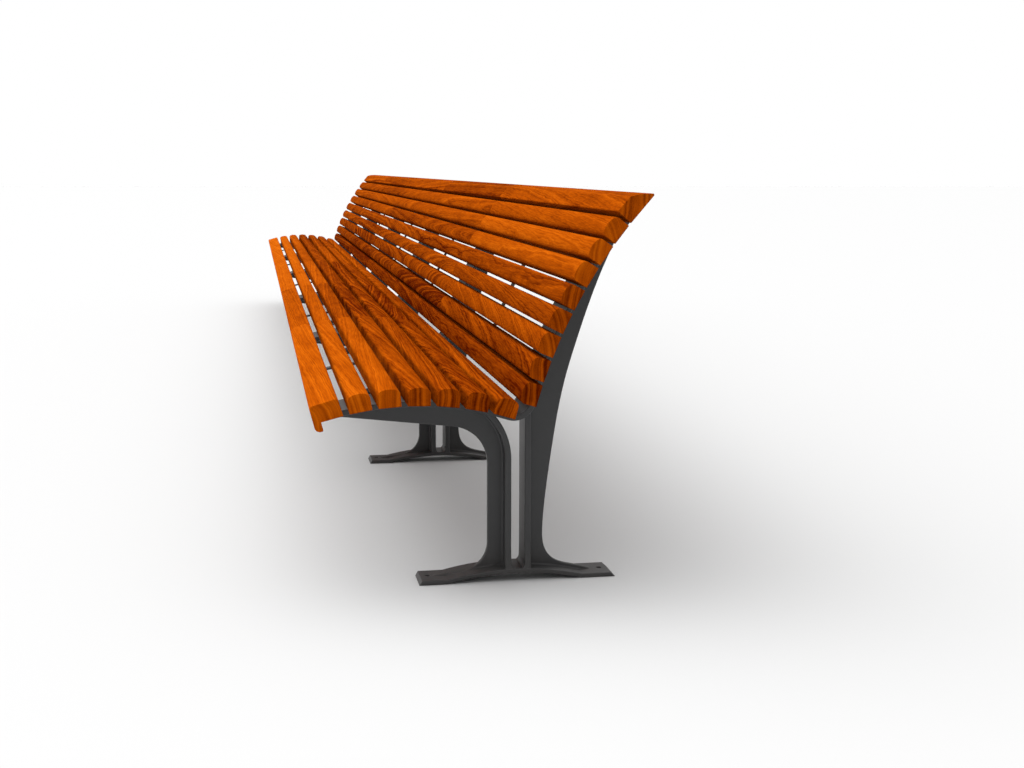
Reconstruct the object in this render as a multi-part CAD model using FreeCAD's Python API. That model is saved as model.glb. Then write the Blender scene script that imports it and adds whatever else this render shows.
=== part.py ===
import FreeCAD, Part
import math
import os

# A long public garden bench: six cast support frames, 1300 mm apart, carry sixteen
# lines of hardwood slats, seven under the sitter and nine up the back.
#
# Frame of reference: X runs along the bench, -Y is the sitter's side, +Y is behind the
# back, Z is up, and the origin is on the ground at the middle of the bounding box.
# Every outline is drawn in the Y-Z plane and carried along X. Lengths are millimetres.

# ---- along the bench ----
FRAME_COUNT = 6
FRAME_PITCH = 1300.0
OVERHANG = 138.0             # slat end beyond the centre of the end frame
JOINT_GAP = 2.0              # open joint between two butting slat lengths
HALF_LENGTH = (FRAME_COUNT - 1) * FRAME_PITCH / 2 + OVERHANG
FRAME_PLACES = [(FRAME_COUNT - 1) * FRAME_PITCH / 2 - FRAME_PITCH * i for i in range(FRAME_COUNT)]
TIE_FROM_FRAME = 580.0       # from a frame's centre to the tie in the bay beyond it

# ---- sitting surface and backrest: the arcs that the slats' undersides touch ----
SEAT_CENTRE = (-143.3, -252.1)
SEAT_RADIUS = 662.0
SEAT_SLATS = 7
SEAT_PITCH = 60.0
SEAT_FIRST = -170.5          # front slat, measured along the arc from its crown
BACK_CENTRE = (1118.7, 117.5)
BACK_RADIUS = 1047.0
BACK_SLATS = 9
BACK_PITCH = 54.0
BACK_LOWEST = 163.0          # degrees round the back arc at the lowest back slat

# ---- slats ----
SLAT_WIDTH = 47.0
SLAT_HEIGHT = 38.8
SLAT_CROWN_RADIUS = 52.0
SLAT_CORNER_RADIUS = 11.5
SLAT_EASED_END = 1.0
NOSE_LENGTH = 16.0           # front slat's nosing, ahead of its base
NOSE_DROP = 19.0             # and below it

# ---- support frames ----
BAND_WIDTH = 139.0
BAND_THICKNESS = 13.0
BAND_FRONT = 106.0           # degrees round the seat arc at the band's front end
BAND_TOP = 138.2             # degrees round the back arc at the band's top end
WEB_SETBACK = 1.0            # degrees that the web stops short of the band's ends
BEND_RADIUS = 34.3           # inside radius where the seat turns up into the back
WEB_THICKNESS = 12.0
FLANGE_WIDTH = 71.0
FLANGE_THICKNESS = 13.3
FRONT_LEG_REAR = 77.0        # rear face of the front leg
REAR_LEG_FRONT = 106.6       # front face of the rear leg
LEG_BEND_HEIGHT = 270.0      # where the front leg starts to lean forward
LEG_BEND_RADIUS = 151.0
SLOT_BOTTOM = 25.0           # lowest point of the slot between the legs
SOLE_WIDTH = 85.0
SOLE_THICKNESS = 10.0
SOLE_FRONT = -125.8
SOLE_REAR = 310.0
SOLE_FRONT_SLOPE = 5.5       # how far the sole's sloping tips run in over its thickness
SOLE_REAR_SLOPE = 11.0
ARCH_FRONT = -65.0           # the sole leaves the ground here and meets it again there
ARCH_REAR = 233.0
ARCH_RISE = 18.0
FLARE_HEIGHT = 95.0          # legs widen to the sole below this height
ROOT_RADIUS = 4.0            # cast fillets where the web meets a flange
ROOT_BURIED = 1.0            # how far those fillets run into the metal behind them
BURIED = 5.0                 # how far the legs and webs run into the sole and the band
LEG_TOP_FRONT = 26.0         # rear leg's slanted top: below the bend's centre at its front face
LEG_TOP_REAR = 6.0           # and at its rear face
WEB_TIP = 4.0                # depth of the rear web at its top, behind the band
EDGE_RADIUS = 2.5            # rounding of the casting's long edges

# ---- fixings ----
ANCHOR_PLACES = (-103.8, 282.4)
ANCHOR_RADIUS = 6.0
BOLT_OFFSET = 52.0           # from a frame's centre plane to its slat bolts
BOLT_RADIUS = 4.0
BOLT_CLEARANCE = 0.5         # round the shank, through the band
BOLT_IN_TIMBER = 26.0
BOLT_HEAD_RADIUS = 8.0
BOLT_HEAD_HEIGHT = 4.5
BOLT_RECESS = 0.5            # head below the band's underside
SOCKET_ACROSS = 5.0
SOCKET_DEPTH = 3.0
TIE_WIDTH = 25.0
TIE_THICKNESS = 5.0
TIE_OVERRUN = 18.0           # strap beyond the middle of the first and last slats
SCREW_RADIUS = 2.2
SCREW_IN_TIMBER = 20.0
SCREW_HEAD_RADIUS = 4.6
SCREW_HEAD_HEIGHT = 2.6
SCREW_SPOT_DEPTH = 0.2
PILOT_CLEARANCE = 0.05
TOOL_OVERRUN = 1.0           # how far a drill runs on past the face that it leaves by


# ---- outlines in the Y-Z plane ----

def place(point, x=0.0):
    return FreeCAD.Vector(x, point[0], point[1])


def on_circle(centre, radius, degrees):
    angle = math.radians(degrees)
    return (centre[0] + radius * math.cos(angle), centre[1] + radius * math.sin(angle))


def arc(centre, radius, start, end):
    """An arc edge between two angles in degrees."""
    stops = [on_circle(centre, radius, angle) for angle in (start, (start + end) / 2, end)]
    return Part.Arc(*[place(stop) for stop in stops]).toShape()


def line(start, end):
    return Part.makeLine(place(start), place(end))


def bearing(centre, point):
    """The angle in degrees at which a point lies from a centre."""
    return math.degrees(math.atan2(point[1] - centre[1], point[0] - centre[0]))


def crossing(first_centre, first_radius, second_centre, second_radius, side):
    """The point at both given distances; side +1 or -1 chooses between the two."""
    gap_y = second_centre[0] - first_centre[0]
    gap_z = second_centre[1] - first_centre[1]
    gap = math.hypot(gap_y, gap_z)
    along = (gap ** 2 + first_radius ** 2 - second_radius ** 2) / (2 * gap)
    across = side * math.sqrt(first_radius ** 2 - along ** 2)
    return (
        first_centre[0] + (along * gap_y - across * gap_z) / gap,
        first_centre[1] + (along * gap_z + across * gap_y) / gap,
    )


def rounded_outline(corners):
    """A closed wire through (y, z, radius) corners, each rounded by a tangent arc."""
    trimmed = []
    for index, (y, z, radius) in enumerate(corners):
        corner = FreeCAD.Vector(0, y, z)
        before = FreeCAD.Vector(0, *corners[index - 1][:2]) - corner
        after = FreeCAD.Vector(0, *corners[(index + 1) % len(corners)][:2]) - corner
        before.normalize()
        after.normalize()
        half = before.getAngle(after) / 2
        inset = radius / math.tan(half)
        middle = before + after
        middle.normalize()
        crown = corner + middle * (radius / math.sin(half) - radius)
        trimmed.append((corner + before * inset, crown, corner + after * inset, radius))
    edges = []
    for index, (enter, crown, leave, radius) in enumerate(trimmed):
        if radius:
            edges.append(Part.Arc(enter, crown, leave).toShape())
        edges.append(Part.makeLine(leave, trimmed[(index + 1) % len(trimmed)][0]))
    return Part.Wire(edges)


def rounded_path(corners):
    """The edges of an open path through (y, z, radius) corners."""
    return rounded_outline(corners).Edges[:-1]


def extrude(wire, width, middle=0.0):
    """A solid of a Y-Z outline, width wide along X about the plane X = middle."""
    solid = Part.Face(wire).extrude(FreeCAD.Vector(width, 0, 0))
    solid.translate(FreeCAD.Vector(middle - width / 2, 0, 0))
    return solid


def soften(solid, width):
    """Round the edges that bound the two side faces of an extruded solid."""
    boxes = [(edge, edge.BoundBox) for edge in solid.Edges]
    rims = [edge for edge, box in boxes if box.XLength < 0.01 and abs(box.Center.x) > width / 2 - 0.01]
    return solid.makeFillet(EDGE_RADIUS, rims)


# ---- stations: where a slat or a fixing sits on one of the two arcs ----

class Station:
    """A place on an arc, with the slat's own axes: along the arc, and out of it."""

    def __init__(self, centre, radius, degrees):
        angle = math.radians(degrees)
        self.foot = FreeCAD.Vector(0, *on_circle(centre, radius, degrees))
        self.out = FreeCAD.Vector(0, math.cos(angle), math.sin(angle))
        self.along = FreeCAD.Vector(0, math.sin(angle), -math.cos(angle))
        self.tilt = degrees - 90.0

    def settle(self, shape):
        """Carry a shape drawn about the origin, with its base on Z = 0, to this place."""
        shape.rotate(FreeCAD.Vector(0, 0, 0), FreeCAD.Vector(1, 0, 0), self.tilt)
        shape.translate(self.foot)
        return shape


def seat_degrees(distance):
    """The angle round the seat arc at a distance behind its crown."""
    return 90.0 - math.degrees(distance / SEAT_RADIUS)


SEAT_ANGLES = [seat_degrees(SEAT_FIRST + SEAT_PITCH * n) for n in range(SEAT_SLATS)]
BACK_STEP = math.degrees(BACK_PITCH / BACK_RADIUS)
BACK_ANGLES = [BACK_LOWEST - BACK_STEP * (BACK_SLATS - 1 - n) for n in range(BACK_SLATS)]
SEAT_STATIONS = [Station(SEAT_CENTRE, SEAT_RADIUS, angle) for angle in SEAT_ANGLES]
BACK_STATIONS = [Station(BACK_CENTRE, BACK_RADIUS, angle) for angle in BACK_ANGLES]
STATIONS = SEAT_STATIONS + BACK_STATIONS


# ---- fixings, drawn point upwards with the head's bearing face on Z = 0 ----

def cylinder(radius, bottom, top):
    return Part.makeCylinder(radius, top - bottom, FreeCAD.Vector(0, 0, bottom))


def bolt_head():
    """A countersunk head, its wide end downwards, under a band of full thickness."""
    head = Part.makeCone(BOLT_HEAD_RADIUS, BOLT_RADIUS, BOLT_HEAD_HEIGHT)
    head.translate(FreeCAD.Vector(0, 0, BOLT_RECESS - BAND_THICKNESS))
    return head


def slat_bolt():
    """A countersunk bolt with a hexagon socket, for one slat at one frame."""
    low = BOLT_RECESS - BAND_THICKNESS
    corner = SOCKET_ACROSS / math.sqrt(3)
    turns = [math.radians(60 * n) for n in range(7)]
    rim = [FreeCAD.Vector(corner * math.cos(t), corner * math.sin(t), low) for t in turns]
    socket = Part.Face(Part.makePolygon(rim)).extrude(FreeCAD.Vector(0, 0, SOCKET_DEPTH))
    shank = cylinder(BOLT_RADIUS, low + BOLT_HEAD_HEIGHT, BOLT_IN_TIMBER)
    return bolt_head().fuse(shank).removeSplitter().cut(socket)


def bolt_hole():
    """The countersunk hole for a slat bolt, right through a band."""
    shank = cylinder(BOLT_RADIUS + BOLT_CLEARANCE, -BAND_THICKNESS, TOOL_OVERRUN)
    mouth = cylinder(BOLT_HEAD_RADIUS, -BAND_THICKNESS - TOOL_OVERRUN, BOLT_RECESS - BAND_THICKNESS)
    return bolt_head().fuse([shank, mouth])


def tie_screw():
    """A pan head screw that holds a tie to one slat."""
    reach = TIE_THICKNESS - SCREW_SPOT_DEPTH + SCREW_IN_TIMBER
    head = cylinder(SCREW_HEAD_RADIUS, -SCREW_HEAD_HEIGHT, 0)
    head = head.makeFillet(SCREW_HEAD_HEIGHT / 2, [head.Edges[2]])
    screw = head.fuse(cylinder(SCREW_RADIUS, 0, reach)).removeSplitter()
    screw.translate(FreeCAD.Vector(0, 0, SCREW_SPOT_DEPTH - TIE_THICKNESS))
    return screw


def at_stations(shape, stations, places):
    """Copies of a fixing at every station and every place along X."""
    copies = []
    for station in stations:
        for x in places:
            copy = station.settle(shape.copy())
            copy.translate(FreeCAD.Vector(x, 0, 0))
            copies.append(copy)
    return copies


def bolt_places(frame_x):
    return (frame_x - BOLT_OFFSET, frame_x + BOLT_OFFSET)


# ---- slats ----

def plain_section():
    """Flat base, upright sides, rounded top corners and a gently crowned top."""
    crown = (0.0, SLAT_HEIGHT - SLAT_CROWN_RADIUS)
    inner = SLAT_WIDTH / 2 - SLAT_CORNER_RADIUS
    reach = SLAT_CROWN_RADIUS - SLAT_CORNER_RADIUS
    shoulder = crown[1] + math.sqrt(reach ** 2 - inner ** 2)
    lean = bearing(crown, (inner, shoulder))
    side = SLAT_WIDTH / 2
    return Part.Wire([
        line((-side, 0), (side, 0)),
        line((side, 0), (side, shoulder)),
        arc((inner, shoulder), SLAT_CORNER_RADIUS, 0, lean),
        arc(crown, SLAT_CROWN_RADIUS, lean, 180 - lean),
        arc((-inner, shoulder), SLAT_CORNER_RADIUS, 180 - lean, 180),
        line((-side, shoulder), (-side, 0)),
    ])


def front_section():
    """The front seat slat: its nosing stands ahead of its base and drops below it."""
    side = SLAT_WIDTH / 2
    nose = side + NOSE_LENGTH
    return rounded_outline([
        (-side, 0, 0), (-side, -NOSE_DROP, 2), (-nose, -NOSE_DROP, 11), (-nose, 37.4, 8),
        (side - 1.5, 38.6, 7), (side, 0, 0),
    ])


def top_section():
    """The top rail: its front face is upright to the back, its top is near level."""
    side = SLAT_WIDTH / 2
    return rounded_outline([
        (-side, 0, 0), (-side, 37.8, 3), (16, 37.8, 5), (34, 25, 40), (57, 0, 3),
    ])


def slat_line(section, station):
    """One line of butting slat lengths, with blind holes for its bolts and screws."""
    bolt_pilot = cylinder(BOLT_RADIUS + PILOT_CLEARANCE, -TOOL_OVERRUN, BOLT_IN_TIMBER + TOOL_OVERRUN)
    screw_pilot = cylinder(SCREW_RADIUS + PILOT_CLEARANCE, -TOOL_OVERRUN, SCREW_IN_TIMBER + TOOL_OVERRUN)
    inner_frames = FRAME_PLACES[1:-1]
    starts = [HALF_LENGTH] + [x - JOINT_GAP / 2 for x in inner_frames]
    ends = [x + JOINT_GAP / 2 for x in inner_frames] + [-HALF_LENGTH]
    lengths = []
    for bay, (start, end) in enumerate(zip(starts, ends)):
        blank = extrude(section, start - end, (start + end) / 2)
        rims = [face.Edges for face in blank.Faces if abs(face.normalAt(0, 0).x) > 0.99]
        blank = blank.makeChamfer(SLAT_EASED_END, sum(rims, []))
        bolts = [x for frame in FRAME_PLACES[bay:bay + 2] for x in bolt_places(frame) if end < x < start]
        holes = [bolt_pilot.translated(FreeCAD.Vector(x, 0, 0)) for x in bolts]
        holes.append(screw_pilot.translated(FreeCAD.Vector(FRAME_PLACES[bay] - TIE_FROM_FRAME, 0, 0)))
        lengths.append(station.settle(blank.cut(holes)))
    return Part.makeCompound(lengths)


# ---- ties ----

def tie(centre, radius, stations, angles, x):
    """A thin curved strap across the undersides of a set of slats."""
    overrun = math.degrees(TIE_OVERRUN / radius)
    low = min(angles) - overrun
    high = max(angles) + overrun
    inner = radius - TIE_THICKNESS
    outline = Part.Wire([
        arc(centre, radius, low, high),
        line(on_circle(centre, radius, high), on_circle(centre, inner, high)),
        arc(centre, inner, high, low),
        line(on_circle(centre, inner, low), on_circle(centre, radius, low)),
    ])
    strap = extrude(outline, TIE_WIDTH, x)
    spot = SCREW_SPOT_DEPTH - TIE_THICKNESS
    under = -TIE_THICKNESS - TOOL_OVERRUN
    hole = cylinder(SCREW_RADIUS + PILOT_CLEARANCE, under, TOOL_OVERRUN)
    hole = hole.fuse(cylinder(SCREW_HEAD_RADIUS, under, spot))
    return strap.cut(at_stations(hole, stations, [x]))


# ---- support frame ----

BEND_CENTRE = crossing(
    SEAT_CENTRE, SEAT_RADIUS + BEND_RADIUS, BACK_CENTRE, BACK_RADIUS + BEND_RADIUS, 1
)
BEND_START = bearing(SEAT_CENTRE, BEND_CENTRE)
BEND_END = bearing(BACK_CENTRE, BEND_CENTRE)


def band():
    """The wide band under the slats: seat arc, hammock bend and back arc in one."""
    def run(depth, back_again):
        edges = [
            arc(SEAT_CENTRE, SEAT_RADIUS - depth, BAND_FRONT, BEND_START),
            arc(BEND_CENTRE, BEND_RADIUS + depth, BEND_START - 180, BEND_END - 180),
            arc(BACK_CENTRE, BACK_RADIUS - depth, BEND_END, BAND_TOP),
        ]
        return edges[::-1] if back_again else edges

    def end(centre, radius, degrees):
        return line(
            on_circle(centre, radius, degrees), on_circle(centre, radius - BAND_THICKNESS, degrees)
        )

    outline = Part.Wire(
        run(0.0, False)
        + [end(BACK_CENTRE, BACK_RADIUS, BAND_TOP)]
        + run(BAND_THICKNESS, True)
        + [end(SEAT_CENTRE, SEAT_RADIUS, BAND_FRONT)]
    )
    return soften(extrude(outline, BAND_WIDTH), BAND_WIDTH)


def sole_arch():
    """The centre and radius of the hollow under the sole."""
    half_span = (ARCH_REAR - ARCH_FRONT) / 2
    radius = (half_span ** 2 + ARCH_RISE ** 2) / (2 * ARCH_RISE)
    return ((ARCH_FRONT + ARCH_REAR) / 2, ARCH_RISE - radius), radius


def sole():
    """The foot: flat pads at both ends, arched between them, with sloping tips."""
    centre, radius = sole_arch()
    under = bearing(centre, (ARCH_REAR, 0.0))
    upper_radius = radius + SOLE_THICKNESS
    over = math.degrees(math.asin((SOLE_THICKNESS - centre[1]) / upper_radius))
    front_tip = (SOLE_FRONT + SOLE_FRONT_SLOPE, SOLE_THICKNESS)
    rear_tip = (SOLE_REAR - SOLE_REAR_SLOPE, SOLE_THICKNESS)
    outline = Part.Wire([
        line((SOLE_FRONT, 0), (ARCH_FRONT, 0)),
        arc(centre, radius, 180 - under, under),
        line((ARCH_REAR, 0), (SOLE_REAR, 0)),
        line((SOLE_REAR, 0), rear_tip),
        line(rear_tip, on_circle(centre, upper_radius, over)),
        arc(centre, upper_radius, over, 180 - over),
        line(on_circle(centre, upper_radius, 180 - over), front_tip),
        line(front_tip, (SOLE_FRONT, 0)),
    ])
    plate = soften(extrude(outline, SOLE_WIDTH), SOLE_WIDTH)
    return plate.cut([
        Part.makeCylinder(ANCHOR_RADIUS, 4 * SOLE_THICKNESS, FreeCAD.Vector(0, y, -SOLE_THICKNESS))
        for y in ANCHOR_PLACES
    ])


LEG_BEND_CENTRE = (FRONT_LEG_REAR - LEG_BEND_RADIUS, LEG_BEND_HEIGHT)


def leg_outline():
    """Both leg flanges and the rounded slot bottom that joins them at the foot."""
    inner_radius = LEG_BEND_RADIUS - FLANGE_THICKNESS
    into_band = SEAT_RADIUS - BAND_THICKNESS / 2
    outer_top = crossing(LEG_BEND_CENTRE, LEG_BEND_RADIUS, SEAT_CENTRE, into_band, 1)
    inner_top = crossing(LEG_BEND_CENTRE, inner_radius, SEAT_CENTRE, into_band, 1)
    slot_radius = (REAR_LEG_FRONT - FRONT_LEG_REAR) / 2
    slot_centre = ((REAR_LEG_FRONT + FRONT_LEG_REAR) / 2, SLOT_BOTTOM + slot_radius)
    inside_sole = ARCH_RISE + BURIED
    front_leg_front = FRONT_LEG_REAR - FLANGE_THICKNESS
    rear_leg_rear = REAR_LEG_FRONT + FLANGE_THICKNESS
    front_top = (REAR_LEG_FRONT, BEND_CENTRE[1] - LEG_TOP_FRONT)
    rear_top = (rear_leg_rear, BEND_CENTRE[1] - LEG_TOP_REAR)
    return Part.Wire([
        line((front_leg_front, inside_sole), (rear_leg_rear, inside_sole)),
        line((rear_leg_rear, inside_sole), rear_top),
        line(rear_top, front_top),
        line(front_top, (REAR_LEG_FRONT, slot_centre[1])),
        arc(slot_centre, slot_radius, 0, -180),
        line((FRONT_LEG_REAR, slot_centre[1]), (FRONT_LEG_REAR, LEG_BEND_HEIGHT)),
        arc(LEG_BEND_CENTRE, LEG_BEND_RADIUS, 0, bearing(LEG_BEND_CENTRE, outer_top)),
        line(outer_top, inner_top),
        arc(LEG_BEND_CENTRE, inner_radius, bearing(LEG_BEND_CENTRE, inner_top), 0),
        line((front_leg_front, LEG_BEND_HEIGHT), (front_leg_front, inside_sole)),
    ])


def leg_flanges():
    """The flanges, flared by long hollow curves to the sole's width at the bottom."""
    half = FLANGE_WIDTH / 2
    step = SOLE_WIDTH / 2 - half
    rise = FLARE_HEIGHT - ARCH_RISE
    radius = (step ** 2 + rise ** 2) / (2 * step)
    swing = math.degrees(math.asin(rise / radius))
    top = SEAT_CENTRE[1] + SEAT_RADIUS
    low = on_circle((half + radius, FLARE_HEIGHT), radius, 180 + swing)
    front_view = Part.Wire([
        line((-half, top), (half, top)),
        line((half, top), (half, FLARE_HEIGHT)),
        arc((half + radius, FLARE_HEIGHT), radius, 180, 180 + swing),
        line(low, (-low[0], low[1])),
        arc((-half - radius, FLARE_HEIGHT), radius, -swing, 0),
        line((-half, FLARE_HEIGHT), (-half, top)),
    ])
    envelope = extrude(front_view, 4 * SOLE_WIDTH)
    envelope.rotate(FreeCAD.Vector(0, 0, 0), FreeCAD.Vector(0, 0, 1), 90)
    flanges = extrude(leg_outline(), SOLE_WIDTH).common(envelope)
    boxes = [(edge, edge.BoundBox) for edge in flanges.Edges]
    return flanges.makeFillet(EDGE_RADIUS, [
        edge for edge, box in boxes if abs(box.Center.x) > half - 0.01 and box.ZLength > FLANGE_THICKNESS
    ])


def front_web():
    """The outline of the rib under the seat, down the front leg and along the foot."""
    spine = FRONT_LEG_REAR - FLANGE_THICKNESS / 2
    spine_radius = LEG_BEND_RADIUS - FLANGE_THICKNESS / 2
    in_band = SEAT_RADIUS - BAND_THICKNESS / 2
    meeting = crossing(LEG_BEND_CENTRE, spine_radius, SEAT_CENTRE, in_band, 1)
    front_angle = BAND_FRONT - WEB_SETBACK
    front = on_circle(SEAT_CENTRE, in_band, front_angle)
    free_edge = rounded_path([
        (spine, LEG_BEND_HEIGHT, 0), (spine, ARCH_RISE + BURIED, 0), (-87, 6, 0), (-91, 11, 0),
        (29, 25.5, 62), (29, 332.5, 84), (-312, 371.8, 4), (*front, 0),
    ])
    return Part.Wire(free_edge + [
        arc(SEAT_CENTRE, in_band, front_angle, bearing(SEAT_CENTRE, meeting)),
        arc(LEG_BEND_CENTRE, spine_radius, bearing(LEG_BEND_CENTRE, meeting), 0),
    ])


def rear_web():
    """The outline of the rib behind the rear leg and the back."""
    spine = REAR_LEG_FRONT + FLANGE_THICKNESS / 2
    in_band = BACK_RADIUS - BAND_THICKNESS / 2
    top_angle = BAND_TOP + WEB_SETBACK
    tip = on_circle(BACK_CENTRE, BACK_RADIUS - BAND_THICKNESS - WEB_TIP, top_angle)
    free_edge = Part.BSplineCurve()
    free_edge.interpolate([place(point) for point in [
        tip, (306, 731), (269, 647), (227, 527), (198, 428), (173, 292), (156, 162),
        (152, 100), (156, 66), (173, 40), (214, 23), (260, 11),
    ]])
    band_start = on_circle(BACK_CENTRE, in_band, BEND_END)
    return Part.Wire([
        free_edge.toShape(),
        line((260, 11), (256, 6)),
        line((256, 6), (spine, ARCH_RISE + BURIED)),
        line((spine, ARCH_RISE + BURIED), (spine, BEND_CENTRE[1])),
        line((spine, BEND_CENTRE[1]), band_start),
        arc(BACK_CENTRE, in_band, BEND_END, top_angle),
        line(on_circle(BACK_CENTRE, in_band, top_angle), tip),
    ])


def root_sections(point, out):
    """The hollow-sided fillet sections beside the web, on a flange face at a point."""
    sections = []
    for side in (1, -1):
        corner = place(point, side * WEB_THICKNESS / 2)
        sideways = FreeCAD.Vector(side, 0, 0)
        reach = corner + sideways * ROOT_RADIUS
        rise = corner + out * ROOT_RADIUS
        hollow = corner + (sideways + out) * (ROOT_RADIUS * (1 - math.sqrt(0.5)))
        buried = corner - (sideways + out) * ROOT_BURIED
        sections.append(Part.Face(Part.Wire([
            Part.Arc(reach, hollow, rise).toShape(),
            Part.makeLine(rise, rise - sideways * ROOT_BURIED),
            Part.makeLine(rise - sideways * ROOT_BURIED, buried),
            Part.makeLine(buried, reach - out * ROOT_BURIED),
            Part.makeLine(reach - out * ROOT_BURIED, reach),
        ])))
    return sections


def curved_roots(centre, radius, start, end, inward):
    """Fillets along a curved flange, on its inner or its outer side."""
    angle = math.radians(start)
    out = FreeCAD.Vector(0, math.cos(angle), math.sin(angle)) * (-1 if inward else 1)
    return [
        section.revolve(place(centre), FreeCAD.Vector(1, 0, 0), end - start)
        for section in root_sections(on_circle(centre, radius, start), out)
    ]


def straight_roots(start, end, out):
    """Fillets along a straight flange between two points."""
    return [section.extrude(place(end) - place(start)) for section in root_sections(start, out)]


def web_roots():
    """Every fillet between the webs and the band, the legs and the sole."""
    arch_centre, arch_radius = sole_arch()
    arch_turn = 15
    leg_turn = 45
    leg_front = FRONT_LEG_REAR - FLANGE_THICKNESS
    leg_rear = REAR_LEG_FRONT + FLANGE_THICKNESS
    forward = FreeCAD.Vector(0, -1, 0)
    rearward = FreeCAD.Vector(0, 1, 0)
    runs = (
        curved_roots(SEAT_CENTRE, SEAT_RADIUS - BAND_THICKNESS, BAND_FRONT, BEND_START, True)
        + curved_roots(BACK_CENTRE, BACK_RADIUS - BAND_THICKNESS, BEND_END, BAND_TOP, True)
        + curved_roots(LEG_BEND_CENTRE, LEG_BEND_RADIUS - FLANGE_THICKNESS, 0, leg_turn, True)
        + curved_roots(arch_centre, arch_radius + SOLE_THICKNESS, 90 - arch_turn, 90 + arch_turn, False)
        + straight_roots((leg_front, ARCH_RISE), (leg_front, LEG_BEND_HEIGHT), forward)
        + straight_roots((leg_rear, ARCH_RISE), (leg_rear, BEND_CENTRE[1]), rearward)
    )
    reach = WEB_THICKNESS + 2 * ROOT_RADIUS
    bounds = extrude(front_web(), reach).fuse(extrude(rear_web(), reach))
    return [run.common(bounds) for run in runs]


def support_frame():
    """One casting, on the plane X = 0, drilled and countersunk for its slat bolts."""
    front = soften(extrude(front_web(), WEB_THICKNESS), WEB_THICKNESS)
    rear = extrude(rear_web(), WEB_THICKNESS)
    free_edges = sorted(rear.Edges, key=lambda edge: edge.Length)[-2:]
    casting = band().fuse([sole(), leg_flanges(), front, rear.makeFillet(EDGE_RADIUS, free_edges)])
    for root in web_roots():
        casting = casting.fuse(root)
    return casting.removeSplitter().cut(at_stations(bolt_hole(), STATIONS, bolt_places(0.0)))


# ---- the bench, one file for each node ----

def nodes():
    """Yield each node's name and shape."""
    sections = [front_section()] + [plain_section()] * (SEAT_SLATS - 1)
    for n, (section, station) in enumerate(zip(sections, SEAT_STATIONS), 1):
        yield f"seat_slat_{n}", slat_line(section, station)
    sections = [top_section()] + [plain_section()] * (BACK_SLATS - 1)
    for n, (section, station) in enumerate(zip(sections, BACK_STATIONS), 1):
        yield f"back_slat_{n}", slat_line(section, station)
    frame = support_frame()
    for n, x in enumerate(FRAME_PLACES, 1):
        yield f"support_frame_{n}", frame.translated(FreeCAD.Vector(x, 0, 0))
        yield f"slat_bolts_{n}", Part.makeCompound(at_stations(slat_bolt(), STATIONS, bolt_places(x)))
    for n, frame_x in enumerate(FRAME_PLACES[:-1], 1):
        x = frame_x - TIE_FROM_FRAME
        yield f"seat_tie_{n}", tie(SEAT_CENTRE, SEAT_RADIUS, SEAT_STATIONS, SEAT_ANGLES, x)
        yield f"back_tie_{n}", tie(BACK_CENTRE, BACK_RADIUS, BACK_STATIONS, BACK_ANGLES, x)
        yield f"tie_screws_{n}", Part.makeCompound(at_stations(tie_screw(), STATIONS, [x]))


os.makedirs("parts", exist_ok=True)
for name, shape in nodes():
    shape.exportStep(f"parts/{name}.step")
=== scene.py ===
import math
import random

import bpy
from mathutils import Matrix, Quaternion, Vector


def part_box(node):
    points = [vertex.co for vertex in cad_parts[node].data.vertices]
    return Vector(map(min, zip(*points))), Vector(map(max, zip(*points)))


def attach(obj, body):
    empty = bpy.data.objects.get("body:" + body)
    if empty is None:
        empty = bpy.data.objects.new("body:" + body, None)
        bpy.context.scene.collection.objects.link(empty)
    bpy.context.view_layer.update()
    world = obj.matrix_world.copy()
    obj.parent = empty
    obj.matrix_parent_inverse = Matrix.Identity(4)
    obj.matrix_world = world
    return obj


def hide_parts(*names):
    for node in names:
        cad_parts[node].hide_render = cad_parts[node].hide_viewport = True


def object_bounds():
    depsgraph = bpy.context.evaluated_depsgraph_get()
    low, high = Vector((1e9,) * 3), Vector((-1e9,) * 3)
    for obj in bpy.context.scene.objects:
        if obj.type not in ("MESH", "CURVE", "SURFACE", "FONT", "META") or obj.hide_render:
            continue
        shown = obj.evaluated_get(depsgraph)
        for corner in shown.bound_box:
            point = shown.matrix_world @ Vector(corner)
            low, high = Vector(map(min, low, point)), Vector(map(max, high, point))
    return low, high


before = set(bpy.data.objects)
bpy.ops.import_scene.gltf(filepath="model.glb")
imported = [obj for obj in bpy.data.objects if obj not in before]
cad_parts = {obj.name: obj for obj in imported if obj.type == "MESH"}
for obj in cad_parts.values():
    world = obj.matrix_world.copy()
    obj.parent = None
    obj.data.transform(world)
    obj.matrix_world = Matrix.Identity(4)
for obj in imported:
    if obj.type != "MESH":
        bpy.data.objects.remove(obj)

# The looks of a long public garden bench: hardwood slats on dark cast frames.
# Every length is in metres, in the CAD model's own frame: X along the bench, -Y the
# sitter's side, Z up.

MM = 0.001
SEED = 20

# ---- timber: the arcs that the slats lie on, and their sections ----
SEAT_CENTRE = (-143.3 * MM, -252.1 * MM)
SEAT_RADIUS = 662.0 * MM
SEAT_PITCH = 60.0 * MM
SEAT_FIRST = -170.5 * MM     # front slat, measured along the arc from its crown
BACK_CENTRE = (1118.7 * MM, 117.5 * MM)
BACK_RADIUS = 1047.0 * MM
BACK_PITCH = 54.0 * MM
BACK_LOWEST = math.radians(163.0)
HALF_SLAT = 23.5 * MM
SLAT_HEIGHT = 38.8 * MM
SLAT_CROWN_RADIUS = 52.0 * MM
SLAT_CORNER_RADIUS = 11.5 * MM
BASE_ROUNDING = 0.8 * MM
NOSE_LENGTH = 16.0 * MM      # front slat's nosing, ahead of its base
NOSE_DROP = 19.0 * MM        # and below it
NOSE_TOP = 37.4 * MM         # front slat's height at its nosing
FRONT_TOP = 38.6 * MM        # and at its rear side
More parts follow.
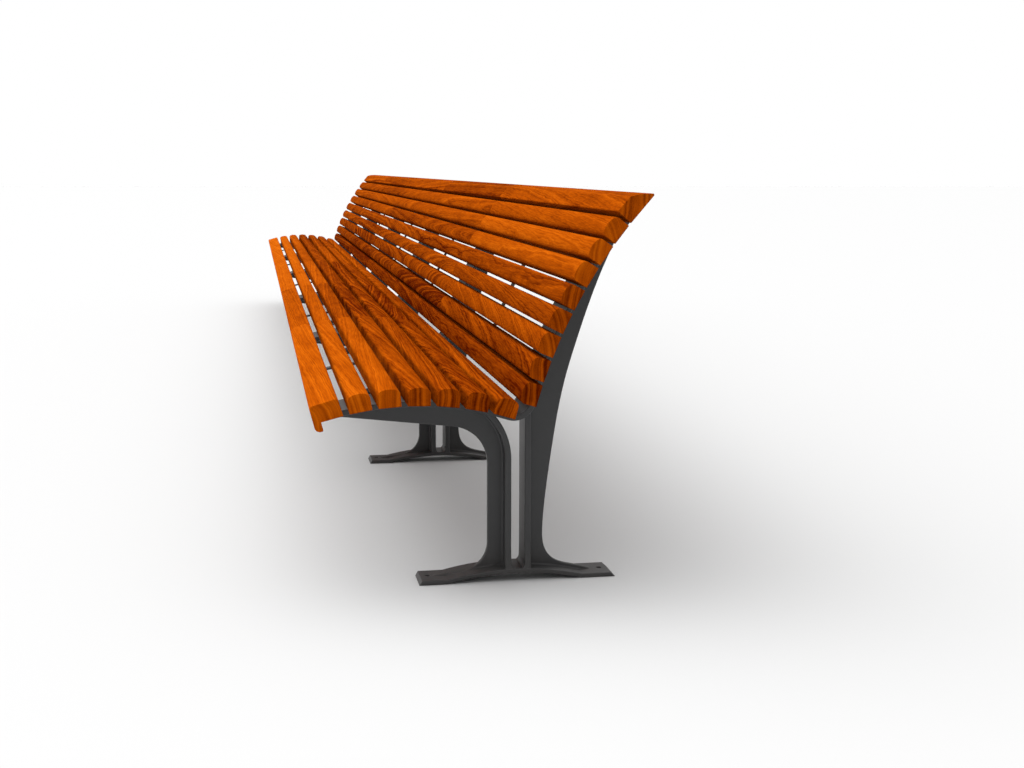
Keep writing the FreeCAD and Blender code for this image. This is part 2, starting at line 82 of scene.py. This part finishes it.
FRONT_TAPER = 1.5 * MM       # its rear side leans in this far towards the top
RAIL_TOP = 37.8 * MM         # top rail's height
RAIL_LEVEL_END = 16.0 * MM   # where its level top ends, behind its middle
RAIL_KNEE = (34.0 * MM, 25.0 * MM)   # where its rear face bends, as (across, up)
RAIL_REAR = 57.0 * MM        # and where it meets the base
JOINT_GAP = 2.0 * MM
END_ROUNDING = 1.2 * MM
END_ANGLES = [math.radians(angle) for angle in (0, 30, 60, 90)]
ARC_STEPS = 7                # straight pieces in each rounded corner
SHARP_FROM = math.radians(50)   # edges that turn more than this stay crisp

# ---- how each slat line was cut from its log, and the painted shade in its tone ----
SEAT_TONES_AND_PAINTED_SHADE = (0.61, 0.54, 0.42, 0.24, 0.25, 0.27, 0.29)   # front to rear, 1 is palest; the rear lines are darker partly by their own tone, partly by painted shade
BACK_TONES_AND_PAINTED_SHADE = (0.43, 0.48, 0.47, 0.45, 0.34, 0.35, 0.32, 0.32, 0.20)   # top to bottom; the low lines are darker partly by their own tone, partly by painted shade
SEAT_BAY_TONES = (0.02, -0.12, 0.03, 0.07, 0.05)   # added in each bay, from the +X end
BACK_BAY_TONES = (0.02, -0.13, -0.11, -0.11, -0.10)
TONE_SPREAD = 0.09
FIGURE = (0.14, 0.30)        # least and most contrast of the growth rings
DARK_FIGURE = 0.30           # extra contrast in the darker lines
PITH_AWAY = (0.11, 0.22)     # from a board's middle to the log's pith, in front or behind
PITH_UP = 0.05               # and up or down
GRAIN_SLOPE = Vector((0, 0.06, 0.02))   # most that a board's grain runs out of it
WILD_LINES = ("seat_slat_6", "seat_slat_7", "back_slat_1", "back_slat_7", "back_slat_8")
WILD_SLOPE = 2.4             # their grain runs out this many times as fast
WILD_FIGURE = 1.2            # and shows this many times as strongly
LOG_LENGTH = 40.0

# ---- the timber's figure: a noise's scale is per metre, along the board and across it ----
SWEEP_SCALE = (1.6, 5.0, 5.0)           # slow waves in the growth rings
SWEEP_DEPTH = 20.0 * MM
RIPPLE_SCALE = (14.0, 34.0, 34.0)       # and quicker ones
RIPPLE_DEPTH = 7.0 * MM
FIBRE_SCALE = (13.0, 460.0, 460.0)
FIBRE_SPREAD = 0.18                     # half the range of noise that is stretched to 0 to 1
PORE_SCALE = (70.0, 1500.0, 1500.0)
PORE_RANGE = (0.60, 0.72)               # the noise's highest values are pores
CLOUD_SCALE = (5.0, 25.0, 25.0)         # soft patches of lighter and darker wood
BROAD_RINGS = 105.0                     # noise scale along the log's radius
NARROW_RINGS = 420.0
RING_SPREAD = 0.14
LINE_CONTRAST = 0.26                    # how far narrow rings and fibres change the tone
CLOUD_CONTRAST = 0.40
END_RING_CONTRAST = 0.12                # end grain shows its broad rings more
END_LINE_CONTRAST = -0.14               # and its lines less
PORE_TONE = -0.10
EDGE_WEAR_AND_HIGHLIGHT = 0.05                        # rounded edges a little paler: partly rubbed, partly a painted highlight
END_GRAIN_FACING = (0.6, 0.9)           # how squarely a face looks along X to be end grain
BOUNCED_SHARE = 0.8                     # how much of the colour changes in bounced light
FIBRE_RELIEF = 0.5
RING_RELIEF = 0.3
PORE_RELIEF = -0.8
TIMBER_ROUGHNESS = 0.34
FIBRE_ROUGHNESS = 0.14                  # pale fibres add this
END_ROUGHNESS = 0.25                    # and end grain this

# ---- metals: a noise's scale is per metre ----
PATCH_SCALE = 7.0                       # soft patches in the coat
WORN_EDGE = 2.2 * MM                    # how far in from an edge the coat is rubbed
WORN_TURN = (0.985, 0.90)               # cosine of the bevel's turn, from sound to rubbed
PATCH_SHADE = (0.86, 1.12)              # least and most brightness of the patches
DUST_HEIGHT = 0.10                      # dust lies below this height
DUST_MOST = 0.25                        # and covers no more than this share
PIT_RELIEF = 0.6                        # pits beside the orange peel's 1
PATCH_ROUGHNESS = 0.18
DUST_ROUGHNESS = 0.5
STAIN_SCALE = 160.0                     # faint stains on the steel
TURNING_SCALE = (400.0, 2600.0, 2600.0)     # fine lines left by turning
STEEL_ROUGHNESS = 0.22
STAIN_ROUGHNESS = 0.25

# ---- colours, in linear light ----
TIMBER_DARK = (0.11, 0.009, 0.0006, 1)
TIMBER_MIDDLE = (0.50, 0.088, 0.0020, 1)
TIMBER_LIGHT = (0.84, 0.185, 0.006, 1)
# the end faces' tint: partly end grain's own colour, partly painted light that brightens them
TIMBER_END_GRAIN_AND_LIGHT_TINT = (1.10, 1.06, 0.70, 1)
TIMBER_SHEEN = (1.0, 0.45, 0.08, 1)
TIMBER_IN_BOUNCED_LIGHT = (0.075, 0.060, 0.050, 1)
CASTING_GREY = (0.042, 0.042, 0.043, 1)
CASTING_WORN = (0.090, 0.090, 0.093, 1)
DUST = (0.16, 0.145, 0.13, 1)
STEEL_STAINED = (0.20, 0.19, 0.18, 1)
STEEL_CLEAN = (0.50, 0.50, 0.51, 1)
FLOOR_WHITE = (0.80, 0.80, 0.80, 1)
FLOOR_IN_BOUNCED_LIGHT = (0.48, 0.48, 0.48, 1)

# ---- light ----
KEY_DIRECTION = Vector((-0.38, -0.42, 0.85)).normalized()
KEY_SPREAD = math.radians(35.0)
KEY_POWER = 2.6
DOME_LOW = 0.18              # the dome's brightness at the horizon
DOME_RISE = 0.62             # and how much brighter it is overhead
LIGHT_STRENGTH = 1.02

# ---- camera: a 50 mm lens on a 36 mm sensor ----
LENS = 50.0
SENSOR = 36.0
CAMERA_BEYOND_END = 2.865    # past the bench's +X end
CAMERA_Y = -0.4624
CAMERA_Z = 0.8955
CAMERA_TURN = math.radians(10.313)
CAMERA_DIP = math.radians(8.668)
CAMERA_ROLL = math.radians(0.129)

FLOOR_REACH = 60.0

cad_low, cad_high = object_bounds()
chance = random.Random(SEED)


# ---- node trees ----

class Tree:
    """A short way to write a node tree: add() makes a node and returns its first output."""

    def __init__(self, owner):
        owner.use_nodes = True
        self.tree = owner.node_tree
        self.tree.nodes.clear()

    def node(self, kind, inputs=None, **settings):
        made = self.tree.nodes.new("ShaderNode" + kind)
        for name, value in settings.items():
            setattr(made, name, value)
        for key, value in (inputs or {}).items():
            if isinstance(value, bpy.types.NodeSocket):
                self.tree.links.new(value, made.inputs[key])
            else:
                made.inputs[key].default_value = value
        return made

    def add(self, kind, inputs=None, **settings):
        return self.node(kind, inputs, **settings).outputs[0]

    def math(self, operation, first, second=0.0, third=0.0):
        return self.add("Math", {0: first, 1: second, 2: third}, operation=operation)

    def vector(self, operation, first, second=(0, 0, 0)):
        return self.add("VectorMath", {0: first, 1: second}, operation=operation)

    def remap(self, value, low, high, out_low=0.0, out_high=1.0):
        inputs = {0: value, 1: low, 2: high, 3: out_low, 4: out_high}
        return self.add("MapRange", inputs, clamp=True)

    def noise(self, vector, scale, detail=3.0, roughness=0.5):
        inputs = {"Vector": vector, "Scale": scale, "Detail": detail, "Roughness": roughness}
        return self.add("TexNoise", inputs)

    def mix(self, factor, first, second, blend="MIX"):
        made = self.node("Mix", {0: factor, 6: first, 7: second}, data_type="RGBA", blend_type=blend)
        return made.outputs[2]

    def ramp(self, value, stops):
        made = self.node("ValToRGB", {0: value})
        points = made.color_ramp.elements
        while len(points) < len(stops):
            points.new(0.5)
        for point, (position, colour) in zip(points, stops):
            point.position = position
            point.color = colour
        return made.outputs[0]

    def attribute(self, name):
        return self.node("Attribute", attribute_name=name)

    def finish(self, shader):
        self.node("OutputMaterial", {0: shader})


# ---- timber material ----

def contrast(t, vector, scale, detail, spread):
    """Noise stretched to fill 0 to 1; the smaller the spread, the crisper its edges."""
    return t.remap(t.noise(vector, scale, detail, 0.6), 0.5 - spread, 0.5 + spread)


def timber():
    """Oiled orange-red hardwood; every board is cut from its own place in a log."""
    material = bpy.data.materials.new("oiled_hardwood")
    t = Tree(material)
    log = t.attribute("log").outputs["Vector"]
    board = t.node("SeparateXYZ", {0: t.attribute("board").outputs["Vector"]})
    tone_and_shade, figure, edge = board.outputs
    facing = t.node("SeparateXYZ", {0: t.node("NewGeometry").outputs["Normal"]}).outputs[0]
    end = t.remap(t.math("ABSOLUTE", facing), *END_GRAIN_FACING)

    # growth rings: distance from the pith, waved by slow noise along the board
    sweep = t.noise(t.vector("MULTIPLY", log, SWEEP_SCALE), 1.0, 2.0)
    ripple = t.noise(t.vector("MULTIPLY", log, RIPPLE_SCALE), 1.0, 2.0)
    across_log = t.vector("MULTIPLY", log, (0.0, 1.0, 1.0))
    radius = t.node("VectorMath", {0: across_log}, operation="LENGTH").outputs["Value"]
    radius = t.math("MULTIPLY_ADD", sweep, SWEEP_DEPTH, radius)
    radius = t.math("MULTIPLY_ADD", ripple, RIPPLE_DEPTH, radius)
    rings = t.add("CombineXYZ", {0: radius})
    broad = contrast(t, rings, BROAD_RINGS, 1.0, RING_SPREAD)
    narrow = contrast(t, rings, NARROW_RINGS, 2.0, RING_SPREAD)

    # fibres, pores and clouds, drawn out along the board
    fibre = contrast(t, t.vector("MULTIPLY", log, FIBRE_SCALE), 1.0, 2.0, FIBRE_SPREAD)
    pore = t.noise(t.vector("MULTIPLY", log, PORE_SCALE), 1.0, 1.0)
    pore = t.remap(pore, *PORE_RANGE)
    cloud = t.noise(t.vector("MULTIPLY", log, CLOUD_SCALE), 1.0, 2.0)

    # the board's tone, made lighter and darker by each pattern about its middle
    ring_contrast = t.math("MULTIPLY_ADD", end, END_RING_CONTRAST, figure)
    line_contrast = t.math("MULTIPLY_ADD", end, END_LINE_CONTRAST, LINE_CONTRAST)
    patterns = [(broad, ring_contrast), (narrow, line_contrast), (fibre, line_contrast),
                (cloud, CLOUD_CONTRAST)]
    light = tone_and_shade
    for pattern, strength in patterns:
        light = t.math("MULTIPLY_ADD", t.math("SUBTRACT", pattern, 0.5), strength, light)
    light = t.math("MULTIPLY_ADD", pore, PORE_TONE, light)
    # rounded edges made paler: partly wear, partly a painted highlight where they catch the light
    light = t.math("MULTIPLY_ADD", edge, EDGE_WEAR_AND_HIGHLIGHT, light)
    colour = t.ramp(light, [(0.0, TIMBER_DARK), (0.5, TIMBER_MIDDLE), (1.0, TIMBER_LIGHT)])
    # end faces take their end-grain colour, with painted light brightening them
    colour = t.mix(end, colour, TIMBER_END_GRAIN_AND_LIGHT_TINT, "MULTIPLY")
    bounced = t.node("LightPath").outputs["Is Diffuse Ray"]
    colour = t.mix(t.math("MULTIPLY", bounced, BOUNCED_SHARE), colour, TIMBER_IN_BOUNCED_LIGHT)

    # the pores are sunk; the oil shines a little, and tints what it reflects
    relief = t.math("MULTIPLY_ADD", fibre, FIBRE_RELIEF, t.math("MULTIPLY", narrow, RING_RELIEF))
    relief = t.math("MULTIPLY_ADD", pore, PORE_RELIEF, relief)
    bump = t.add("Bump", {"Strength": 0.3, "Distance": 0.5 * MM, "Height": relief})
    roughness = t.math("MULTIPLY_ADD", fibre, FIBRE_ROUGHNESS, TIMBER_ROUGHNESS)
    roughness = t.math("MULTIPLY_ADD", end, END_ROUGHNESS, roughness)
    surface = {"Base Color": colour, "Roughness": roughness, "Normal": bump, "Metallic": 0.10,
               "Specular IOR Level": 0.0, "Specular Tint": TIMBER_SHEEN}
    t.finish(t.add("BsdfPrincipled", surface))
    return material


# ---- metal materials ----

def coated_metal(name, roughness, grain):
    """A dark coated metal: fine orange peel, soft patches, rubbed edges, dust low down."""
    material = bpy.data.materials.new(name)
    t = Tree(material)
    place = t.node("TexCoord").outputs["Object"]
    patches = t.noise(place, PATCH_SCALE, 4.0, 0.55)
    peel = t.noise(place, grain, 3.0, 0.6)
    pits = t.noise(place, grain / 3, 2.0)

    # edges: where the normal of a small imagined bevel leaves the surface's own
    bevel = t.add("Bevel", {"Radius": WORN_EDGE}, samples=4)
    flat = t.node("NewGeometry").outputs["Normal"]
    turn = t.node("VectorMath", {0: bevel, 1: flat}, operation="DOT_PRODUCT").outputs["Value"]
    worn_patches = t.remap(patches, 0.45, 0.65, 0.1, 0.8)
    rubbed = t.math("MULTIPLY", t.remap(turn, *WORN_TURN), worn_patches)
    colour = t.mix(rubbed, CASTING_GREY, CASTING_WORN)
    shade = t.remap(patches, 0.3, 0.7, *PATCH_SHADE)
    shade = t.add("CombineColor", {0: shade, 1: shade, 2: shade})
    colour = t.mix(1.0, colour, shade, "MULTIPLY")
    height = t.node("SeparateXYZ", {0: place}).outputs[2]
    dust = t.remap(height, DUST_HEIGHT, 0.0, 0.0, DUST_MOST)
    dust = t.math("MULTIPLY", dust, t.remap(patches, 0.35, 0.7))
    colour = t.mix(dust, colour, DUST)

    relief = t.math("MULTIPLY_ADD", pits, PIT_RELIEF, peel)
    raised = {"Strength": 0.12, "Distance": 0.8 * MM, "Height": relief, "Normal": bevel}
    bump = t.add("Bump", raised)
    unevenness = t.math("SUBTRACT", patches, 0.5)
    varied = t.math("MULTIPLY_ADD", unevenness, PATCH_ROUGHNESS, roughness)
    varied = t.math("MULTIPLY_ADD", dust, DUST_ROUGHNESS, varied)
    surface = {"Base Color": colour, "Roughness": varied, "Normal": bump, "Specular IOR Level": 0.5}
    t.finish(t.add("BsdfPrincipled", surface))
    return material


def bare_steel():
    """Stainless fixings: turned bright, faintly stained."""
    material = bpy.data.materials.new("stainless_fixings")
    t = Tree(material)
    place = t.node("TexCoord").outputs["Object"]
    stain = t.noise(place, STAIN_SCALE)
    turning = t.noise(t.vector("MULTIPLY", place, TURNING_SCALE), 1.0, 2.0)
    colour = t.ramp(stain, [(0.3, STEEL_STAINED), (0.6, STEEL_CLEAN)])
    roughness = t.math("MULTIPLY_ADD", stain, STAIN_ROUGHNESS, STEEL_ROUGHNESS)
    bump = t.add("Bump", {"Strength": 0.08, "Distance": 0.2 * MM, "Height": turning})
    surface = {"Base Color": colour, "Metallic": 1.0, "Roughness": roughness, "Normal": bump}
    t.finish(t.add("BsdfPrincipled", surface))
    return material


# ---- slat sections: points (across, up, edge), where edge is 1 on a rounded corner ----

def arc(centre, start, sweep):
    """Points from a start round a centre, anticlockwise for a positive sweep."""
    points = []
    for step in range(ARC_STEPS + 1):
        share = step / ARC_STEPS
        point = Vector(centre) + Matrix.Rotation(sweep * share, 2) @ Vector(start)
        points.append((point.x, point.y, math.sin(math.pi * share)))
    return points


def rounded(corners):
    """A closed outline through (across, up, radius) corners, each rounded by an arc."""
    outline = []
    for index, (across, up, radius) in enumerate(corners):
        corner = Vector((across, up))
        before = (Vector(corners[index - 1][:2]) - corner).normalized()
        after = (Vector(corners[(index + 1) % len(corners)][:2]) - corner).normalized()
        half = before.angle(after) / 2
        centre = corner + (before + after).normalized() * (radius / math.sin(half))
        start = corner + before * (radius / math.tan(half)) - centre
        stop = corner + after * (radius / math.tan(half)) - centre
        outline += arc(centre, start, -start.angle_signed(stop))
    return outline


def plain_section():
    """Flat base, upright sides, rounded top corners and a gently crowned top."""
    inner = HALF_SLAT - SLAT_CORNER_RADIUS
    reach = SLAT_CROWN_RADIUS - SLAT_CORNER_RADIUS
    crown = SLAT_HEIGHT - SLAT_CROWN_RADIUS
    shoulder = crown + math.sqrt(reach ** 2 - inner ** 2)
    lean = math.acos(inner / reach)
    start = SLAT_CROWN_RADIUS * Vector((math.cos(lean), math.sin(lean)))
    left = SLAT_CORNER_RADIUS * Vector((-math.cos(lean), math.sin(lean)))
    base = HALF_SLAT - BASE_ROUNDING
    top = [(across, up, 0.0) for across, up, edge in arc((0, crown), start, math.pi - 2 * lean)]
    return (
        arc((-base, BASE_ROUNDING), (-BASE_ROUNDING, 0), math.pi / 2)
        + arc((base, BASE_ROUNDING), (0, -BASE_ROUNDING), math.pi / 2)
        + arc((inner, shoulder), (SLAT_CORNER_RADIUS, 0), lean)
        + top[1:-1]
        + arc((-inner, shoulder), left, lean)
    )


def front_section():
    """The front seat slat: its nosing stands ahead of its base and drops below it."""
    nose = -HALF_SLAT - NOSE_LENGTH
    return rounded([
        (-HALF_SLAT, 0, 1.5 * MM), (HALF_SLAT, 0, BASE_ROUNDING),
        (HALF_SLAT - FRONT_TAPER, FRONT_TOP, 7 * MM), (nose, NOSE_TOP, 8 * MM),
        (nose, -NOSE_DROP, 11 * MM), (-HALF_SLAT, -NOSE_DROP, 2 * MM),
    ])


def top_section():
    """The top rail: its front face is upright to the back, its top is near level."""
    return rounded([
        (-HALF_SLAT, 0, BASE_ROUNDING), (RAIL_REAR, 0, 3 * MM), (*RAIL_KNEE, 40 * MM),
        (RAIL_LEVEL_END, RAIL_TOP, 5 * MM), (-HALF_SLAT, RAIL_TOP, 3 * MM),
    ])


# ---- slat lines ----

def station(centre, radius, angle):
    """The matrix that carries a section's (along X, across, up) to its place on an arc."""
    foot = Vector((0, centre[0] + radius * math.cos(angle), centre[1] + radius * math.sin(angle)))
    out = Vector((0, math.cos(angle), math.sin(angle)))
    across = Vector((0, math.sin(angle), -math.cos(angle)))
    turn = Matrix((Vector((1, 0, 0)), across, out)).transposed().to_4x4()
    return Matrix.Translation(foot) @ turn


def inset(outline, depth):
    """The outline moved inwards by a small depth."""
    moved = []
    for index, (across, up, edge) in enumerate(outline):
        previous = Vector(outline[index - 1][:2])
        following = Vector(outline[(index + 1) % len(outline)][:2])
        along = (following - previous).normalized()
        moved.append((across - along.y * depth, up + along.x * depth, edge))
    return moved


def board_ends(name):
    """(start, end) of each board in a slat line, which butt over the inner frames."""
    frames = [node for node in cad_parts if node.startswith("support_frame")]
    middles = sorted((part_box(node)[0].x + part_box(node)[1].x) / 2 for node in frames)
    low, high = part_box(name)
    starts = [low.x] + [x + JOINT_GAP / 2 for x in middles[1:-1]]
    ends = [x - JOINT_GAP / 2 for x in middles[1:-1]] + [high.x]
    return list(zip(starts, ends))


def board_rings(start, end):
    """(place along X, inset) of each ring of a board, with softly rounded ends."""
    rounding = [
        (END_ROUNDING * (1 - math.sin(angle)), END_ROUNDING * (1 - math.cos(angle)))
        for angle in END_ANGLES
    ]
    first = [(start + along, depth) for depth, along in rounding]
    last = [(end - along, depth) for depth, along in reversed(rounding)]
    return first + last


def either_way(most):
    return chance.uniform(-most, most)


class Mesh:
    """A slat line's mesh as it grows."""

    def __init__(self):
        self.vertices = []
        self.faces = []
        self.log = []        # each vertex's place in its log, with the pith along X
        self.board = []      # its board's tone and figure, and 1 on a rounded edge

    def add_board(self, section, place, start, end, tone_and_shade, wild):
        """A capped board between two places along X; a wild one has bold, sloping grain."""
        figure = chance.uniform(*FIGURE) + DARK_FIGURE * max(0.0, 0.5 - tone_and_shade)
        tone_and_shade += either_way(TONE_SPREAD)
        away = chance.uniform(*PITH_AWAY) * chance.choice((-1, 1))
        pith = Vector((-chance.uniform(0, LOG_LENGTH), away, either_way(PITH_UP)))
        slope = Vector((0, either_way(GRAIN_SLOPE.y), either_way(GRAIN_SLOPE.z)))
        if wild:
            figure *= WILD_FIGURE
            slope *= WILD_SLOPE
        rings = board_rings(start, end)
        count = len(section)
        first = len(self.vertices)
        for x, depth in rings:
            for across, up, edge in inset(section, depth):
                vertex = place @ Vector((x, across, up))
                run_out = slope * (x - (start + end) / 2)
                self.vertices.append(vertex)
                self.log.append(vertex - place.translation - pith - run_out)
                self.board.append((tone_and_shade, figure, edge))
        for ring in range(len(rings) - 1):
            for index in range(count):
                here = first + ring * count + index
                beside = first + ring * count + (index + 1) % count
                self.faces.append((here, beside, beside + count, here + count))
        last = first + (len(rings) - 1) * count
        self.faces.append(tuple(range(first + count - 1, first - 1, -1)))
        self.faces.append(tuple(range(last, last + count)))

    def finish(self, name, material):
        """The finished object, smooth but for its sharp edges."""
        mesh = bpy.data.meshes.new(name)
        mesh.from_pydata(self.vertices, [], self.faces)
        for title, values in (("log", self.log), ("board", self.board)):
            layer = mesh.attributes.new(title, "FLOAT_VECTOR", "POINT")
            layer.data.foreach_set("vector", [number for value in values for number in value])
        mesh.materials.append(material)
        mesh.shade_smooth()
        mesh.set_sharp_from_angle(angle=SHARP_FROM)
        piece = bpy.data.objects.new(name, mesh)
        bpy.context.collection.objects.link(piece)
        weigh = piece.modifiers.new("face_weighted_normals", "WEIGHTED_NORMAL")
        weigh.keep_sharp = True
        return piece


def slat_line(name, section, place, tone_and_shade, bay_tones, material):
    """One line of butting boards in place of its CAD node."""
    line = Mesh()
    for (start, end), bay_tone in zip(board_ends(name), reversed(bay_tones)):
        line.add_board(section, place, start, end, tone_and_shade + bay_tone, name in WILD_LINES)
    piece = line.finish(f"timber_{name}", material)
    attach(piece, "root")
    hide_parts(name)


def build_timber():
    """Every slat line, on the seat's arc from the front and on the back's from the top."""
    wood = timber()
    # each line's tone is partly its own, partly painted shade that deepens towards the corner of
    # seat and back
    for n, tone_and_shade in enumerate(SEAT_TONES_AND_PAINTED_SHADE):
        angle = math.pi / 2 - (SEAT_FIRST + SEAT_PITCH * n) / SEAT_RADIUS
        place = station(SEAT_CENTRE, SEAT_RADIUS, angle)
        section = plain_section() if n else front_section()
        slat_line(f"seat_slat_{n + 1}", section, place, tone_and_shade, SEAT_BAY_TONES, wood)
    for n, tone_and_shade in enumerate(BACK_TONES_AND_PAINTED_SHADE):
        angle = BACK_LOWEST - BACK_PITCH / BACK_RADIUS * (len(BACK_TONES_AND_PAINTED_SHADE) - 1 - n)
        place = station(BACK_CENTRE, BACK_RADIUS, angle)
        section = plain_section() if n else top_section()
        slat_line(f"back_slat_{n + 1}", section, place, tone_and_shade, BACK_BAY_TONES, wood)


def finish_metal():
    """Materials for the CAD nodes that stay: frames, ties and fixings."""
    casting = coated_metal("coated_casting", roughness=0.42, grain=900.0)
    strap = coated_metal("coated_strap", roughness=0.38, grain=1400.0)
    steel = bare_steel()
    finishes = {"support_frame": casting, "seat_tie": strap, "back_tie": strap,
                "slat_bolts": steel, "tie_screws": steel}
    for name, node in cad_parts.items():
        finish = finishes.get(name.rpartition("_")[0])
        if finish:
            node.data.materials.clear()
            node.data.materials.append(finish)


# ---- stage, light and camera ----

def build_floor():
    """A plain pale floor, which throws back less light than it shows."""
    corners = [(-1, -1), (1, -1), (1, 1), (-1, 1)]
    mesh = bpy.data.meshes.new("studio_floor")
    places = [(x * FLOOR_REACH, y * FLOOR_REACH, 0) for x, y in corners]
    mesh.from_pydata(places, [], [(0, 1, 2, 3)])
    floor = bpy.data.objects.new("studio_floor", mesh)
    bpy.context.collection.objects.link(floor)
    material = bpy.data.materials.new("pale_floor")
    t = Tree(material)
    bounced = t.node("LightPath").outputs["Is Diffuse Ray"]
    colour = t.mix(bounced, FLOOR_WHITE, FLOOR_IN_BOUNCED_LIGHT)
    surface = {"Base Color": colour, "Roughness": 0.9, "Specular IOR Level": 0.1}
    t.finish(t.add("BsdfPrincipled", surface))
    mesh.materials.append(material)


def build_light():
    """A soft dome of light, brightest high on the sitter's side; the camera sees it white."""
    world = bpy.data.worlds.new("studio")
    bpy.context.scene.world = world
    t = Tree(world)
    way = t.vector("NORMALIZE", t.node("TexCoord").outputs["Generated"])
    height = t.math("MAXIMUM", t.node("SeparateXYZ", {0: way}).outputs[2], 0.0)
    turn = t.node("VectorMath", {0: way, 1: KEY_DIRECTION}, operation="DOT_PRODUCT").outputs["Value"]
    spread = t.math("DIVIDE", t.math("ARCCOSINE", turn), KEY_SPREAD)
    key = t.math("EXPONENT", t.math("MULTIPLY", t.math("POWER", spread, 2.0), -1.0))
    dome = t.math("MULTIPLY_ADD", height, DOME_RISE, DOME_LOW)
    power = t.math("MULTIPLY", t.math("MULTIPLY_ADD", key, KEY_POWER, dome), LIGHT_STRENGTH)
    lit = t.add("Background", {"Color": (1, 1, 1, 1), "Strength": power})
    seen = t.add("Background", {"Color": (1, 1, 1, 1), "Strength": 1.0})
    ray = t.node("LightPath").outputs["Is Camera Ray"]
    t.node("OutputWorld", {0: t.add("MixShader", {0: ray, 1: lit, 2: seen})})


def build_camera():
    """Beyond the +X end, a little in front of the seat, looking along the bench."""
    data = bpy.data.cameras.new("camera")
    data.lens = LENS
    data.sensor_width = SENSOR
    camera = bpy.data.objects.new("camera", data)
    camera.location = (cad_high.x + CAMERA_BEYOND_END, CAMERA_Y, CAMERA_Z)
    level = Vector((-math.cos(CAMERA_TURN), math.sin(CAMERA_TURN), 0))
    look = level * math.cos(CAMERA_DIP) - Vector((0, 0, math.sin(CAMERA_DIP)))
    roll = Quaternion((0, 0, 1), CAMERA_ROLL)
    camera.rotation_euler = (look.to_track_quat("-Z", "Y") @ roll).to_euler()
    bpy.context.collection.objects.link(camera)
    bpy.context.scene.camera = camera
    bpy.context.scene.view_settings.view_transform = "Standard"


build_timber()
finish_metal()
build_floor()
build_light()
build_camera()
